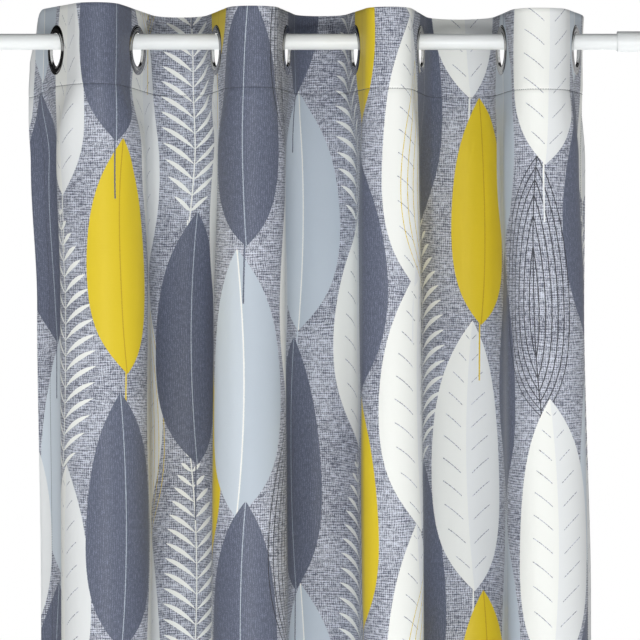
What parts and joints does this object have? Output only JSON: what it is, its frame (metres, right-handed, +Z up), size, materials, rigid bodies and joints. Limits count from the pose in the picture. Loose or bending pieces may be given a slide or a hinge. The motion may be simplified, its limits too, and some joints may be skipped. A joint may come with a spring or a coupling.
{
  "type": "ring top curtain on a telescopic rod",
  "caption": "Ring top curtain in printed cloth, hanging in deep wavy folds from metal ring eyelets on a white two-tube telescopic rod.",
  "frame": {"origin": "on the rod's axis, at the middle of the row of eyelets", "axes": "+Z up along the drop, +X along the rod to the right as seen from the room, +Y from the room towards the window"},
  "size_m": [1.0297, 0.1869, 1.3812],
  "materials": {
    "printed_cloth": "matt linen-look weave in slate grey, printed with upright leaves in white, pale blue-grey, dark slate and ochre yellow; plain on the back",
    "eyelet_dark": "polished gunmetal nickel, which mirrors the cloth beside it",
    "eyelet_bright": "polished, paler than the others",
    "rod_enamel": "white enamel, half gloss",
    "rod_cap": "white moulded plastic, half gloss"
  },
  "bodies": {
    "root": {"curtain_panel": "printed_cloth", "heading_strip": "printed_cloth", "eyelet_1": "eyelet_dark", "eyelet_2": "eyelet_dark", "eyelet_3": "eyelet_dark", "eyelet_4": "eyelet_dark", "eyelet_5": "eyelet_dark", "eyelet_6": "eyelet_dark", "eyelet_7": "eyelet_dark", "eyelet_8": "eyelet_bright", "rod_inner_tube": "rod_enamel", "rod_outer_tube": "rod_enamel", "rod_cap_left": "rod_cap", "rod_cap_right": "rod_cap"}
  },
  "joints": []
}
